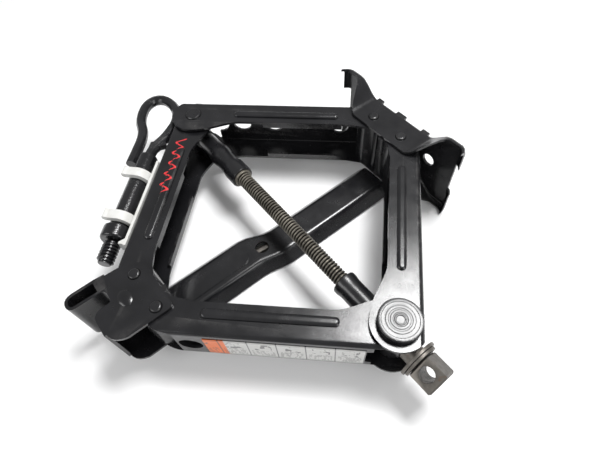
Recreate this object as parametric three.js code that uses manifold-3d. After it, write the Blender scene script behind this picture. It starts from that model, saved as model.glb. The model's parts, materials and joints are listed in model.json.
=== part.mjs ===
// A screw-operated scissor car jack, lying on its side, with its wheel wrench and towing eye.
// +X runs along the lead screw towards its driving head, -Y is the lifting direction, +Y points out of
// the foot, and +Z is up from the surface that the jack lies on. The origin is the middle of the foot's
// outer face. Sizes are in millimetres.
import * as THREE from 'three';
import { mergeVertices } from 'three/addons/utils/BufferGeometryUtils.js';
import Module from 'manifold-3d';

// The linkage: four equal arms on two pairs of geared pivots.
const ARM_LENGTH = 180;
const PIVOT_SPACING = 36;
const ARM_ANGLE = THREE.MathUtils.degToRad(46.12);
const SCREW_PIVOT_X = PIVOT_SPACING / 2 + ARM_LENGTH * Math.cos(ARM_ANGLE);
const END_PIVOT_Y = ARM_LENGTH * Math.sin(ARM_ANGLE);
const FOOT_FACE_Y = 151.5;

// Pressed steel sheet and the gap left between neighbouring pieces.
const SHEET = 2.5;
const GAP = 0.3;

// Arms: U channels, the saddle pair nesting inside the base pair.
const BASE_ARM = { halfWidth: 25.7, inner: 9, back: 18.2, lobe: 21.5 };
const SADDLE_ARM = { halfWidth: 21.55, inner: 8, back: 18.7, lobe: 21 };
const BEND_RADIUS = 4;
const BEND_STEPS = 4;
const WEB_START = 17;
const WEB_END = 166;
const WEB_NOTCH_RADIUS = 12;
const LIP = { start: 72, end: 150, depth: 7 };
const RIB = { start: 42, end: 146, offset: 1.5, halfWidth: 3.7, height: 1.2 };
const WEB_HOLE_RADIUS = 9.5;
const BASE_WEB_HOLES = [43.5, 78, 147];
const SADDLE_WEB_HOLES = [155];

// Gear sectors on the arm ends.
const TEETH_PER_TURN = 12;
const PITCH_RADIUS = PIVOT_SPACING / 2;
const TIP_RADIUS = 20.2;
const ROOT_RADIUS = 14.3;
const PRESSURE_ANGLE = THREE.MathUtils.degToRad(25);
const TOOTH_BACKLASH = 0.6;
const GEAR_BORE_RADIUS = 9.5;

// Pins through the foot and the saddle.
const END_PIN = { radius: 4.7, hole: 5.1, chamfer: 0.9 };
const BASE_PIN_HALF_LENGTH = 30.2;
const SADDLE_PIN_HALF_LENGTH = 26.2;

// Trunnions that the screw passes through.
const BARREL_RADIUS = 12.5;
const BARREL_HALF_LENGTH = 18.6;
const SCREW_BORE_RADIUS = 7.4;
const NUT_PIN = { radius: 7.6, hole: 8, halfLength: 27.2 };
const DRIVE_PIN = { radius: 9, hole: 9.4, halfLength: 25.6 };
const PIVOT_HEAD = { radius: 16.4, thickness: 5.8, chamfer: 1, start: 26 };
const BOSS = { radius: 10.5, reach: 13 };
const WASHER = { inner: 9.8, outer: 15, thickness: 1 };

// Screw, its thrust parts and its driving head.
const SCREW_RADIUS = 6.9;
const SCREW_TIP_X = -160;
const THRUST_SPACER = { radius: 8.6, length: 8.4 };
const THRUST_WASHERS = [{ radius: 16.2, thickness: 2.4 }, { radius: 14.6, thickness: 2.2 }];
const DRIVE_HEAD = { side: 19.5, length: 19.6, eye: 6, chamfer: 1.2 };
const DRIVE_HEAD_TURN = THREE.MathUtils.degToRad(40);

// Foot: a bow-tie channel whose flanges stand between the ends and flare out at them.
const FOOT = { halfLength: 76, waist: 33, earStart: 57, curlStart: 69 };
const FOOT_FLANGE = { halfWidth: 27.25, earHalfWidth: 42.5, tipY: 117.5, earTipY: 144.5, earTipZ: 44 };
const FOOT_TABS = { spans: [[-33, -26], [-7, 4], [25, 33]], rise: 1.3, inner: 26, outer: 28.5 };
const FOOT_HOLE = { x: 41, radius: 6.3 };
const FOOT_NOTCH = { depth: 6, low: -16, high: 20 };

// Saddle: two cheeks joined by one bent band with a horn, a slot and a shoulder.
const SADDLE = { cheekInner: 21.9, cheekOuter: 24.4, slotFloorY: -152.75, shoulderEndX: 14 };

// Towing eye, clipped behind the nut-side saddle arm. Its places are along the arm and away from it.
const EYE_AXIS = { away: 35, z: 13.2 };
const EYE_ROD_RADIUS = 5.3;
const SHANK = { start: 50, end: 134, radius: 9 };
const COLLAR = { end: 147, radius: 12.3 };
const EYE_THREAD = { end: 169, radius: 7.3 };
const CLIP = { centres: [79, 127], width: 9, inner: 9.5, outer: 14.2, jaw: 10.5, lip: 1.3 };
const HOLDER_STRIP = { start: 60, end: 153, thickness: 2.4, low: -7, high: 21 };

// Instruction label on the back of the drive-side saddle arm.
const LABEL = { start: 22, end: 143, halfWidth: 15, thickness: 0.4, standOff: 0.2 };

// Wheel wrench: a tapering channel lying under the linkage, with a folding rod inside it.
const WRENCH = { top: -31, bottom: -44.4, headY: -124, tailY: 118, flare: 8 };
const WRENCH_HALF_WIDTHS = { head: 15.4, tail: 13.2 };
const WRENCH_CENTRES = { head: -6.5, tail: 0.8 };
const WRENCH_STEP = { from: -38, to: -6 };
const WRENCH_HOLE = { x: -3, y: -24, radius: 6.5 };
const WRENCH_PIN_Y = 90;
const WRENCH_ROD = { radius: 3.7, z: -38.4, headY: -84, eye: 4.6 };

// Segments around full circles.
const ROUND = 20;

const wasm = await Module();
wasm.setup();

// ---- Solids ------------------------------------------------------------------------------------

// A closed geometry as a manifold solid.
function solid(geometry) {
  const source = geometry.clone();
  source.deleteAttribute('normal');
  source.deleteAttribute('uv');
  const merged = mergeVertices(source, 1e-4);
  const corners = merged.index.array;
  const kept = [];
  for (let i = 0; i < corners.length; i += 3) {
    const [a, b, c] = [corners[i], corners[i + 1], corners[i + 2]];
    if (a !== b && b !== c && c !== a) {
      kept.push(a, b, c);
    }
  }
  return new wasm.Manifold(new wasm.Mesh({
    numProp: 3,
    vertProperties: new Float32Array(merged.attributes.position.array),
    triVerts: new Uint32Array(kept),
  }));
}

function geometryOf(manifold) {
  const mesh = manifold.getMesh();
  const geometry = new THREE.BufferGeometry();
  geometry.setAttribute('position', new THREE.BufferAttribute(new Float32Array(mesh.vertProperties), 3));
  geometry.setIndex(new THREE.BufferAttribute(new Uint32Array(mesh.triVerts), 1));
  return geometry;
}

function union(solids) {
  return solids.reduce((joined, next) => joined.add(next));
}

function subtractAll(body, cutters) {
  return cutters.reduce((left, cutter) => left.subtract(cutter), body);
}

function shapeOf(points) {
  return new THREE.Shape(points.map(([x, y]) => new THREE.Vector2(x, y)));
}

// A flat outline raised from z = low to z = high.
function prism(shape, low, high) {
  const geometry = new THREE.ExtrudeGeometry(shape, { depth: high - low, bevelEnabled: false });
  return geometry.translate(0, 0, low);
}

// An outline in (y, z) drawn out from x = low to x = high.
function prismAlongX(shape, low, high) {
  const toX = new THREE.Matrix4().makeBasis(
    new THREE.Vector3(0, 1, 0),
    new THREE.Vector3(0, 0, 1),
    new THREE.Vector3(1, 0, 0),
  );
  return prism(shape, low, high).applyMatrix4(toX);
}

// A profile of [radius, height] turned about Z.
function turned(profile, segments = ROUND) {
  const points = profile.map(([radius, height]) => new THREE.Vector2(radius, height));
  return new THREE.LatheGeometry(points, segments).rotateX(Math.PI / 2);
}

// A profile of [radius, place along X] turned about X.
function turnedAlongX(profile, segments = ROUND) {
  return turned(profile, segments).rotateY(Math.PI / 2);
}

function cylinder(radius, low, high, segments = ROUND) {
  return turned([[0, low], [radius, low], [radius, high], [0, high]], segments);
}

function chamferedPin(radius, halfLength, chamfer) {
  return turned([
    [0, -halfLength],
    [radius - chamfer, -halfLength],
    [radius, chamfer - halfLength],
    [radius, halfLength - chamfer],
    [radius - chamfer, halfLength],
    [0, halfLength],
  ]);
}

function ring(inner, outer, low, high, segments = ROUND) {
  return [[inner, low], [outer, low], [outer, high], [inner, high], [inner, low]];
}

function box(low, high) {
  const size = high.map((value, i) => value - low[i]);
  const centre = high.map((value, i) => (value + low[i]) / 2);
  return new THREE.BoxGeometry(...size).translate(...centre);
}

function stadium(start, end, offset, halfWidth) {
  const shape = new THREE.Shape();
  shape.absarc(end - halfWidth, offset, halfWidth, -Math.PI / 2, Math.PI / 2, false);
  shape.absarc(start + halfWidth, offset, halfWidth, Math.PI / 2, (3 * Math.PI) / 2, false);
  return shape;
}

// A polyline given thickness on both sides, as a closed outline.
function stripOutline(points, thickness) {
  const sides = [[], []];
  points.forEach((point, i) => {
    const before = points[Math.max(i - 1, 0)];
    const after = points[Math.min(i + 1, points.length - 1)];
    const along = after.clone().sub(before).normalize();
    const across = new THREE.Vector2(-along.y, along.x).multiplyScalar(thickness / 2);
    sides[0].push(point.clone().add(across));
    sides[1].push(point.clone().sub(across));
  });
  return new THREE.Shape([...sides[0], ...sides[1].reverse()]);
}

// A sheet through a row of sections. Each section is a polyline of (u, v), given thickness in its plane
// and set in space by place(u, v, station).
function sweptSheet(stations, sectionAt, place, thickness) {
  const rings = stations.map((station) => {
    const outline = stripOutline(sectionAt(station), thickness).getPoints();
    return outline.map((p) => place(p.x, p.y, station));
  });
  const count = rings[0].length;
  const half = count / 2;
  const positions = rings.flat().flatMap((p) => [p.x, p.y, p.z]);
  const index = [];
  for (let r = 0; r + 1 < rings.length; r += 1) {
    for (let i = 0; i < count; i += 1) {
      const j = (i + 1) % count;
      const [a, b] = [r * count + i, r * count + j];
      index.push(a, b, b + count, a, b + count, a + count);
    }
  }
  const last = (rings.length - 1) * count;
  for (let i = 0; i + 1 < half; i += 1) {
    const far = count - 1 - i;
    index.push(i, far, far - 1, i, far - 1, i + 1);
    index.push(last + i, last + far - 1, last + far, last + i, last + i + 1, last + far - 1);
  }
  const geometry = new THREE.BufferGeometry();
  geometry.setAttribute('position', new THREE.BufferAttribute(new Float32Array(positions), 3));
  geometry.setIndex(leftHanded(place) ? index : index.reverse());
  return geometry;
}

// Whether place(u, v, w) mirrors space, which turns a surface's faces round.
function leftHanded(place) {
  const [u, v, w] = [[1, 0, 0], [0, 1, 0], [0, 0, 1]].map(([a, b, c]) => place(a, b, c));
  return u.cross(v).dot(w) < 0;
}

// ---- Arms --------------------------------------------------------------------------------------

// One involute tooth centred on the given angle, as an outline from the root circle to the tip circle.
function toothPoints(centre) {
  const baseRadius = PITCH_RADIUS * Math.cos(PRESSURE_ANGLE);
  const involute = (angle) => Math.tan(angle) - angle;
  const pitchThickness = (Math.PI * PITCH_RADIUS) / TEETH_PER_TURN - TOOTH_BACKLASH;
  const halfAngleAtPitch = pitchThickness / (2 * PITCH_RADIUS);
  const halfAngleAt = (radius) => {
    const pressure = Math.acos(Math.min(1, baseRadius / radius));
    return halfAngleAtPitch + involute(PRESSURE_ANGLE) - involute(pressure);
  };
  const radii = [ROOT_RADIUS - 2, baseRadius, PITCH_RADIUS, TIP_RADIUS];
  const flank = radii.map((radius) => [radius, halfAngleAt(Math.max(radius, baseRadius))]);
  const at = ([radius, half], side) => [
    radius * Math.cos(centre + side * half),
    radius * Math.sin(centre + side * half),
  ];
  return [...flank.map((p) => at(p, -1)), ...flank.reverse().map((p) => at(p, 1))];
}

// The side view of an arm: a round lobe at the screw end, a narrower blade and the gear end.
function armOutline({ inner, back, lobe }, side) {
  const path = new THREE.Path();
  path.moveTo(0, lobe);
  path.quadraticCurveTo(16, lobe, 34, back);
  path.lineTo(ARM_LENGTH - 20, back);
  path.quadraticCurveTo(ARM_LENGTH - 5, back, ARM_LENGTH + 4, 13);
  path.lineTo(ARM_LENGTH + 4, -13);
  path.quadraticCurveTo(ARM_LENGTH - 8, -inner - 3, ARM_LENGTH - 24, -inner);
  path.lineTo(48, -inner);
  path.bezierCurveTo(34, -inner, 20, -lobe, 0, -lobe);
  path.absarc(0, 0, lobe, -Math.PI / 2, Math.PI / 2, true);
  return new THREE.Shape(path.getPoints(9).map((p) => new THREE.Vector2(p.x, p.y * side)));
}

// The channel section, open towards the inside of the diamond, with a rounded bend at each back corner.
function channelSection(back, halfWidth, radius, side) {
  const far = -40;
  const points = [[far, -halfWidth], [back - radius, -halfWidth]];
  for (let step = 1; step < BEND_STEPS; step += 1) {
    const angle = (step / BEND_STEPS - 1) * (Math.PI / 2);
    points.push([back - radius + radius * Math.cos(angle), radius - halfWidth + radius * Math.sin(angle)]);
  }
  points.push([back, radius - halfWidth]);
  const mirrored = points.slice().reverse().map(([y, z]) => [y, -z]);
  return shapeOf([...points, ...mirrored].map(([y, z]) => [y * side, z]));
}

// A round cutter through the web, at a distance from the screw pivot.
function webCutter(radius, place) {
  return cylinder(radius, -40, 40).rotateX(Math.PI / 2).translate(place, 0, 0);
}

// An arm along +X from its screw pivot to its geared pivot. side is +1 where the back faces +Y.
function armSolid({ spec, side, toothAngles, screwPinHole, webHoles }) {
  const { halfWidth, inner, back } = spec;
  const innerHalf = halfWidth - SHEET;
  const blade = solid(prism(armOutline(spec, side), -halfWidth, halfWidth));
  const outer = solid(prismAlongX(channelSection(back, halfWidth, BEND_RADIUS, side), -60, 240));
  const roomSection = channelSection(back - SHEET, innerHalf, BEND_RADIUS - SHEET, side);
  const room = solid(prismAlongX(roomSection, -70, 250));
  const plain = blade.intersect(outer).subtract(room);
  const webCutters = [
    box([-60, -60, -innerHalf], [WEB_START, 60, innerHalf]),
    box([WEB_END, -60, -innerHalf], [ARM_LENGTH + 60, 60, innerHalf]),
    webCutter(WEB_NOTCH_RADIUS, WEB_START),
    ...webHoles.map((place) => webCutter(WEB_HOLE_RADIUS, place)),
  ];
  const channel = subtractAll(plain, webCutters.map(solid));

  const additions = [];
  for (const face of [-1, 1]) {
    const lipEdges = [face * (halfWidth - LIP.depth), face * (halfWidth - 1)].sort((a, b) => a - b);
    const lipSides = [-side * inner, -side * (inner - SHEET)].sort((a, b) => a - b);
    additions.push(box([LIP.start, lipSides[0], lipEdges[0]], [LIP.end, lipSides[1], lipEdges[1]]));
    const ribLow = face > 0 ? halfWidth - 0.5 : -halfWidth - RIB.height;
    const ribShape = stadium(RIB.start, RIB.end, side * RIB.offset, RIB.halfWidth);
    additions.push(prism(ribShape, ribLow, ribLow + RIB.height + 0.5));
  }
  const gearParts = [cylinder(ROOT_RADIUS, -halfWidth, halfWidth).translate(ARM_LENGTH, 0, 0)];
  for (const angle of toothAngles) {
    gearParts.push(prism(shapeOf(toothPoints(angle)), -halfWidth, halfWidth).translate(ARM_LENGTH, 0, 0));
  }
  const gear = union(gearParts.map(solid));
  const whole = union([channel, gear, ...additions.map(solid)]);
  const bores = [
    cylinder(GEAR_BORE_RADIUS, -innerHalf, innerHalf).translate(ARM_LENGTH, 0, 0),
    cylinder(END_PIN.hole, -40, 40).translate(ARM_LENGTH, 0, 0),
    cylinder(screwPinHole, -40, 40),
  ];
  return subtractAll(whole, bores.map(solid));
}

// Tooth angles about the geared pivot, measured in the arm's own frame, centred on its neighbour.
function toothAngles(side, offsets) {
  const step = (2 * Math.PI) / TEETH_PER_TURN;
  return offsets.map((offset) => -side * ARM_ANGLE + offset * step);
}

const NUT_SIDE_TEETH = [-1, 0, 1];
const DRIVE_SIDE_TEETH = [-1.5, -0.5, 0.5, 1.5];

// ---- Foot and saddle ---------------------------------------------------------------------------

function smoothBetween(value, from, to) {
  return THREE.MathUtils.smoothstep(value, from, to);
}

// The foot's section at one place along its length: flange, bend, sole, bend, flange, as (y, z).
function footSection(x) {
  const ear = smoothBetween(Math.abs(x), FOOT.waist, FOOT.earStart);
  const tip = smoothBetween(Math.abs(x), FOOT.waist, FOOT.earStart + 3);
  const soleY = FOOT_FACE_Y - SHEET / 2;
  const cornerZ = THREE.MathUtils.lerp(FOOT_FLANGE.halfWidth, FOOT_FLANGE.earHalfWidth, ear);
  const tipY = THREE.MathUtils.lerp(FOOT_FLANGE.tipY, FOOT_FLANGE.earTipY, tip);
  const tipZ = THREE.MathUtils.lerp(FOOT_FLANGE.halfWidth, FOOT_FLANGE.earTipZ, ear);
  const bend = 4;
  const path = new THREE.Path();
  path.moveTo(tipY, tipZ);
  path.lineTo(soleY - bend, THREE.MathUtils.lerp(cornerZ, tipZ, bend / (soleY - tipY)));
  path.quadraticCurveTo(soleY, cornerZ, soleY, cornerZ - bend);
  path.lineTo(soleY, 0);
  const upper = path.getPoints(4);
  const lower = upper.slice(0, -1).reverse().map((p) => new THREE.Vector2(p.x, -p.y));
  return [...upper, ...lower];
}

function footSolid() {
  const right = [0, FOOT.waist];
  for (let x = FOOT.waist + 5; x < FOOT.earStart + 4; x += 5) {
    right.push(x);
  }
  right.push(FOOT.curlStart, FOOT.curlStart + 3.5, FOOT.halfLength);
  const stations = [...right.slice(1).reverse().map((x) => -x), ...right];
  const curl = (x) => 0.11 * Math.max(0, Math.abs(x) - FOOT.curlStart) ** 2;
  const place = (y, z, x) => new THREE.Vector3(x, y - curl(x), z);
  const sheet = solid(sweptSheet(stations, footSection, place, SHEET));
  const additions = [];
  for (const face of [-1, 1]) {
    for (const [from, to] of FOOT_TABS.spans) {
      const edges = [face * FOOT_TABS.inner, face * FOOT_TABS.outer].sort((a, b) => a - b);
      additions.push(box([from, FOOT_FACE_Y - 4, edges[0]], [to, FOOT_FACE_Y + FOOT_TABS.rise, edges[1]]));
    }
  }
  const cutters = [];
  for (const end of [-1, 1]) {
    const across = (radius) => cylinder(radius, 100, 200).rotateX(-Math.PI / 2);
    cutters.push(across(FOOT_HOLE.radius).translate(end * FOOT_HOLE.x, 0, 2));
    cutters.push(cylinder(END_PIN.hole, -60, 60).translate((end * PIVOT_SPACING) / 2, END_PIVOT_Y, 0));
    const edges = [end * (FOOT.halfLength - FOOT_NOTCH.depth), end * 100].sort((a, b) => a - b);
    cutters.push(box([edges[0], 100, FOOT_NOTCH.low], [edges[1], 200, FOOT_NOTCH.high]));
  }
  return subtractAll(union([sheet, ...additions.map(solid)]), cutters.map(solid));
}

// The bent band over the saddle: up the side, over the horn, down into the slot and over the shoulder.
function saddleBand() {
  const path = new THREE.Path();
  path.moveTo(-32.6, -149);
  path.lineTo(-33.4, -158);
  path.lineTo(-33.4, -176);
  path.quadraticCurveTo(-33, -182.6, -26.6, -182.6);
  path.quadraticCurveTo(-22.2, -182.4, -22, -178);
  path.lineTo(-21.6, -158);
  path.quadraticCurveTo(-21.4, SADDLE.slotFloorY, -17, SADDLE.slotFloorY);
  path.lineTo(-11, SADDLE.slotFloorY);
  path.quadraticCurveTo(-6.8, SADDLE.slotFloorY, -6.8, -157);
  path.lineTo(-6.6, -163);
  path.quadraticCurveTo(-6, -168.9, 0, -168.9);
  path.lineTo(SADDLE.shoulderEndX, -168.9);
  return stripOutline(path.getPoints(5), SHEET);
}

// A cheek of the saddle, in side view.
function saddleCheek() {
  const path = new THREE.Path();
  path.moveTo(-33, -159);
  path.lineTo(-31.8, -138);
  path.quadraticCurveTo(-31, -118.3, -14, -118.3);
  path.lineTo(21, -118.5);
  path.quadraticCurveTo(25.8, -118.7, 25.8, -124);
  path.lineTo(25.6, -157);
  path.quadraticCurveTo(22.6, -168.2, 13, -168.4);
  path.lineTo(-1, -168.4);
  path.quadraticCurveTo(-5, -168, -6.1, -163);
  path.lineTo(-6.4, -153.1);
  path.lineTo(-21.4, -153.1);
  path.lineTo(-21.4, -159);
  return new THREE.Shape(path.getPoints(5));
}

function saddleSolid() {
  const band = solid(prism(saddleBand(), -SADDLE.cheekOuter, SADDLE.cheekOuter));
  const cheeks = [
    prism(saddleCheek(), SADDLE.cheekInner, SADDLE.cheekOuter),
    prism(saddleCheek(), -SADDLE.cheekOuter, -SADDLE.cheekInner),
  ];
  const pads = [-1, 1].map((face) => new THREE.SphereGeometry(1, 16, 8)
    .scale(8, 6, 2)
    .translate(-4, -144.5, face * (SADDLE.cheekOuter - 0.4)));
  const pins = [-1, 1].map((end) => cylinder(END_PIN.hole, -60, 60)
    .translate((end * PIVOT_SPACING) / 2, -END_PIVOT_Y, 0));
  const body = union([band, ...cheeks.map(solid), ...pads.map(solid)]);
  return subtractAll(body, pins.map(solid));
}

// ---- Trunnions, screw and thrust parts ---------------------------------------------------------

function trunnionSolid(pin, bossSides) {
  const parts = [
    cylinder(BARREL_RADIUS, -BARREL_HALF_LENGTH, BARREL_HALF_LENGTH),
    chamferedPin(pin.radius, pin.halfLength, 0.9),
    ...bossSides.map((side) => turnedAlongX([
      [0, 0],
      [BOSS.radius, 0],
      [BOSS.radius, BOSS.reach],
      [0, BOSS.reach],
    ]).rotateY(side > 0 ? 0 : Math.PI)),
  ];
  const bore = cylinder(SCREW_BORE_RADIUS, -40, 40).rotateY(Math.PI / 2);
  return union(parts.map(solid)).subtract(solid(bore));
}

// The nut's long guard tube: waisted, with a swelling half way and a wider mouth that holds the nut.
function nutSleeve() {
  const start = BOSS.reach + GAP;
  const profile = [
    [SCREW_BORE_RADIUS, start],
    [9, start],
    [9.4, 30],
    [11, 41],
    [10.8, 46],
    [9.6, 54],
    [10.2, 62],
    [11.2, 66],
    [11.2, 81],
    [9.3, 81],
    [9.3, 65],
    [SCREW_BORE_RADIUS, 63],
    [SCREW_BORE_RADIUS, start],
  ];
  return turnedAlongX(profile);
}

function leadNut() {
  return turnedAlongX(ring(SCREW_BORE_RADIUS - 0.1, 9, 65.6, 83));
}

// The guard tube on the driving side, reaching in towards the thread.
function driveSleeve() {
  const start = BOSS.reach + GAP;
  const profile = [
    [8.2, start],
    [10.2, start],
    [10.2, 50],
    [11, 54],
    [11, 58],
    [8.2, 58],
    [8.2, start],
  ];
  return turnedAlongX(profile).rotateY(Math.PI);
}

function pivotHead(face) {
  const { radius, thickness, chamfer } = PIVOT_HEAD;
  const profile = [
    [0, 0], [radius, 0], [radius, thickness - chamfer], [radius - chamfer, thickness], [0, thickness],
  ];
  const head = turned(profile, 36);
  return face > 0 ? head : head.rotateX(Math.PI);
}

function driveHead() {
  const half = DRIVE_HEAD.side / 2 - DRIVE_HEAD.chamfer;
  const square = shapeOf([[-half, -half], [half, -half], [half, half], [-half, half]]);
  const block = new THREE.ExtrudeGeometry(square, {
    depth: DRIVE_HEAD.length - 2 * DRIVE_HEAD.chamfer,
    bevelEnabled: true,
    bevelThickness: DRIVE_HEAD.chamfer,
    bevelSize: DRIVE_HEAD.chamfer,
    bevelSegments: 1,
  });
  block.translate(0, 0, DRIVE_HEAD.chamfer).rotateY(Math.PI / 2);
  const eye = cylinder(DRIVE_HEAD.eye, -40, 40).translate(DRIVE_HEAD.length / 2 - 1, 0, 0);
  return solid(block).subtract(solid(eye));
}

// ---- Towing eye, clips and wrench --------------------------------------------------------------

// A round rod along a curve.
function rodAlong(curve, radius, divisions, steps) {
  const section = new THREE.Shape();
  section.absarc(0, 0, radius, 0, Math.PI * 2, false);
  const points = section.getPoints(divisions).slice(0, -1);
  const settings = { steps, extrudePath: curve, bevelEnabled: false };
  return new THREE.ExtrudeGeometry(new THREE.Shape(points), settings);
}

// The hook rod: along the shank's line, round the open eye and back to a straight end beside its start.
function eyeRod() {
  const route = [
    [49.6, 35], [41, 34.4], [33, 31.5], [25, 27.6], [15, 24.5], [4, 22.4], [-8, 23.2], [-18, 27.5],
    [-27, 35.5], [-32, 45], [-31, 54], [-23, 60.5], [-10, 61.8], [4, 58.8], [15, 53.2], [26, 50.4],
    [43, 49.9], [60, 49.9],
  ];
  const curve = new THREE.CatmullRomCurve3(route.map(([along, away]) => new THREE.Vector3(along, -away, 0)));
  const rod = rodAlong(curve, EYE_ROD_RADIUS, 5, 40);
  const spur = shapeOf([[28, -28], [31, -22.6], [34, -21], [37, -28], [42, -31], [42, -38], [32, -38]]);
  return solid(rod).add(solid(prism(spur, -3, 3)));
}

// One moulding: a strip along the arm's back with two jaws, open away from the arm, round the shank.
function holderSolid() {
  const { inner, outer, jaw, lip } = CLIP;
  const jaws = new THREE.Shape();
  jaws.absarc(0, 0, outer, -Math.PI / 2, Math.PI / 2, false);
  jaws.lineTo(4 - jaw, outer);
  jaws.quadraticCurveTo(1 - jaw, outer + lip, -jaw, outer + lip / 2);
  jaws.quadraticCurveTo(-jaw - lip, inner + 2, -jaw, inner + 1);
  jaws.lineTo(1.5 - jaw, inner);
  jaws.absarc(0, 0, inner, Math.PI / 2, -Math.PI / 2, true);
  jaws.lineTo(1.5 - jaw, -inner);
  jaws.lineTo(-jaw, -inner - 1);
  jaws.quadraticCurveTo(-jaw - lip, -inner - 2, -jaw, -outer - lip / 2);
  jaws.quadraticCurveTo(1 - jaw, -outer - lip, 4 - jaw, -outer);
  const clips = CLIP.centres.map((centre) => {
    const clip = prismAlongX(jaws, centre - CLIP.width / 2, centre + CLIP.width / 2);
    return solid(clip.translate(0, -EYE_AXIS.away, EYE_AXIS.z));
  });
  const face = -SADDLE_ARM.back - GAP;
  const strip = box(
    [HOLDER_STRIP.start, face - HOLDER_STRIP.thickness, HOLDER_STRIP.low],
    [HOLDER_STRIP.end, face, HOLDER_STRIP.high],
  );
  const wedge = shapeOf([[145, face - 1], [152, face - 1], [152, face - 7], [150, face - 7]]);
  return union([solid(strip), solid(prism(wedge, 10, 20.5)), ...clips]);
}

function wrenchBlend(y) {
  return smoothBetween(y, WRENCH_STEP.from, WRENCH_STEP.to);
}

// The wrench channel's section: skirt, rounded corner, top, rounded corner, skirt, as (x, z).
function wrenchSection(y) {
  const half = THREE.MathUtils.lerp(WRENCH_HALF_WIDTHS.head, WRENCH_HALF_WIDTHS.tail, wrenchBlend(y));
  const centre = THREE.MathUtils.lerp(WRENCH_CENTRES.head, WRENCH_CENTRES.tail, wrenchBlend(y)) + y * 0.012;
  const top = WRENCH.top - SHEET / 2;
  const path = new THREE.Path();
  path.moveTo(half + WRENCH.flare, WRENCH.bottom);
  path.lineTo(half + 1.4, top - 3);
  path.quadraticCurveTo(half, top, half - 3, top);
  path.lineTo(0, top);
  const right = path.getPoints(3);
  const left = right.slice(0, -1).reverse().map((p) => new THREE.Vector2(-p.x, p.y));
  return [...right, ...left].map((p) => new THREE.Vector2(p.x + centre, p.y));
}

function wrenchHandle() {
  const stations = [WRENCH.headY, WRENCH_STEP.from];
  for (let y = WRENCH_STEP.from + 8; y < WRENCH_STEP.to; y += 8) {
    stations.push(y);
  }
  stations.push(WRENCH_STEP.to, WRENCH.tailY);
  const place = (x, z, y) => new THREE.Vector3(x, y, z);
  const channel = solid(sweptSheet(stations, wrenchSection, place, SHEET));
  const panel = stadium(WRENCH.headY + 4, WRENCH_STEP.from - 1, 0, 9.5);
  const raised = prism(panel, WRENCH.top - 1, WRENCH.top + 0.8).rotateZ(Math.PI / 2);
  raised.translate(WRENCH_CENTRES.head - 0.8, 0, 0);
  const hole = cylinder(WRENCH_HOLE.radius, -60, -20).translate(WRENCH_HOLE.x, WRENCH_HOLE.y, 0);
  return channel.add(solid(raised)).subtract(solid(hole));
}

function wrenchRod() {
  const { radius, z, headY, eye } = WRENCH_ROD;
  const tailX = WRENCH_CENTRES.tail + 1;
  const headX = WRENCH_CENTRES.head - 1;
  const route = new THREE.CatmullRomCurve3([
    new THREE.Vector3(tailX, WRENCH_PIN_Y - 3, z),
    new THREE.Vector3(tailX, 30, z),
    new THREE.Vector3(headX, -50, z),
    new THREE.Vector3(headX, headY + 10, z),
    new THREE.Vector3(headX + 4, headY, z),
    new THREE.Vector3(headX + 10, headY - 1, z),
  ]);
  const rod = rodAlong(route, radius, 4, 16);
  const knuckle = cylinder(eye, -4, 4).rotateY(Math.PI / 2).translate(tailX, WRENCH_PIN_Y, z);
  const bore = cylinder(3.1, -10, 10).rotateY(Math.PI / 2).translate(tailX, WRENCH_PIN_Y, z);
  return solid(rod).add(solid(knuckle)).subtract(solid(bore));
}

// ---- Materials ---------------------------------------------------------------------------------

const gloss = new THREE.MeshStandardMaterial({ color: 0x17171a, roughness: 0.32, metalness: 0.35 });
const satin = new THREE.MeshStandardMaterial({ color: 0x1f1f22, roughness: 0.45, metalness: 0.3 });
const forged = new THREE.MeshStandardMaterial({ color: 0x26262a, roughness: 0.5, metalness: 0.55 });
const plated = new THREE.MeshStandardMaterial({ color: 0x8d8b86, roughness: 0.35, metalness: 0.9 });
const greased = new THREE.MeshStandardMaterial({ color: 0x6b6455, roughness: 0.45, metalness: 0.8 });
const phosphated = new THREE.MeshStandardMaterial({ color: 0x55534e, roughness: 0.5, metalness: 0.7 });
const nylon = new THREE.MeshStandardMaterial({ color: 0xe9ebe6, roughness: 0.5, metalness: 0 });
const paper = new THREE.MeshStandardMaterial({ color: 0xd8d7d2, roughness: 0.6, metalness: 0 });

// ---- Assembly ----------------------------------------------------------------------------------

const jack = new THREE.Group();
const linkage = new THREE.Group();
linkage.position.y = -FOOT_FACE_Y;
jack.add(linkage);

function addPiece(parent, name, shape, material) {
  const geometry = shape instanceof THREE.BufferGeometry ? shape : geometryOf(shape);
  const mesh = new THREE.Mesh(geometry, material);
  mesh.name = name;
  parent.add(mesh);
  return mesh;
}

addPiece(linkage, 'base_foot', footSolid(), satin);
addPiece(linkage, 'saddle_bracket', saddleSolid(), satin);

for (const [sideName, end] of [['nut', -1], ['drive', 1]]) {
  const basePin = addPiece(
    linkage,
    `base_pin_${sideName}`,
    chamferedPin(END_PIN.radius, BASE_PIN_HALF_LENGTH, END_PIN.chamfer),
    phosphated,
  );
  basePin.position.set((end * PIVOT_SPACING) / 2, END_PIVOT_Y, 0);
  const saddlePin = addPiece(
    linkage,
    `saddle_pin_${sideName}`,
    chamferedPin(END_PIN.radius, SADDLE_PIN_HALF_LENGTH, END_PIN.chamfer),
    phosphated,
  );
  saddlePin.position.set((end * PIVOT_SPACING) / 2, -END_PIVOT_Y, 0);
}

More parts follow.
